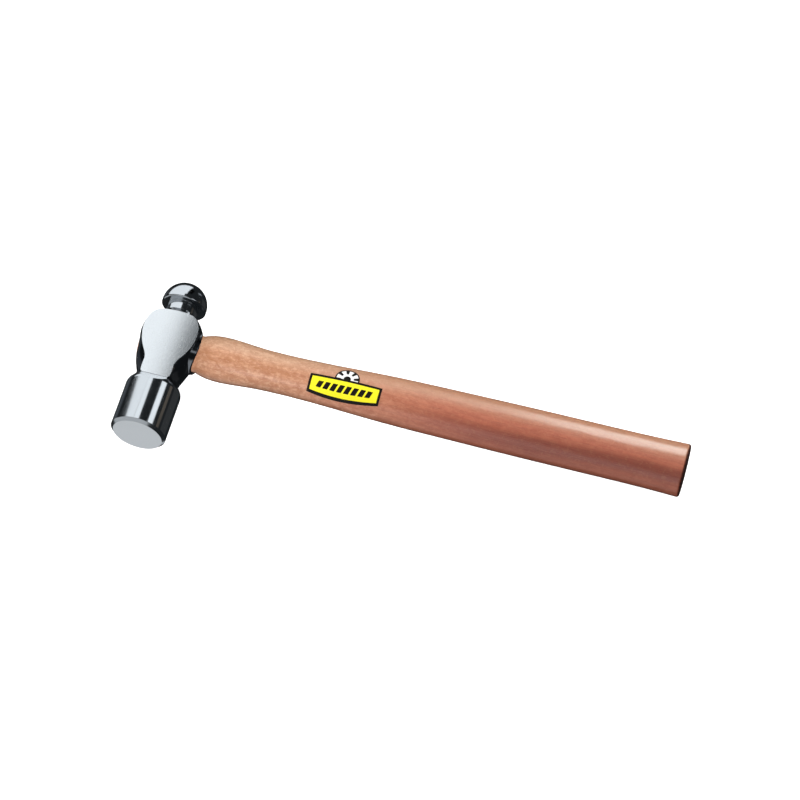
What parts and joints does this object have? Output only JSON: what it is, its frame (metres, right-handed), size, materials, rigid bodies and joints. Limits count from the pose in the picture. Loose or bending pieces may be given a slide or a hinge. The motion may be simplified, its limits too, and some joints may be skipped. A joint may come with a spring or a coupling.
{
  "type": "ball peen hammer",
  "caption": "Ball peen hammer: polished steel head with cylindrical poll and half-ball peen on an oval hardwood handle, wedged in the eye.",
  "frame": {"origin": "centre of the bounding box in X and Y, at its lowest point in Z; the hammer lies on its side with a cheek facing up", "axes": "+X along the handle towards the butt, +Y along the head towards the ball, +Z out of the upper cheek"},
  "size_m": [0.4044, 0.1296, 0.0408],
  "materials": {
    "forged_steel": "polished",
    "varnished_wood": "varnished",
    "wedge_wood": "bare",
    "wedge_steel": "rough",
    "printed_label": "satin"
  },
  "bodies": {
    "root": {"head": "forged_steel", "handle": "varnished_wood", "wood_wedge": "wedge_wood", "steel_wedge": "wedge_steel", "label": "printed_label"}
  },
  "joints": []
}
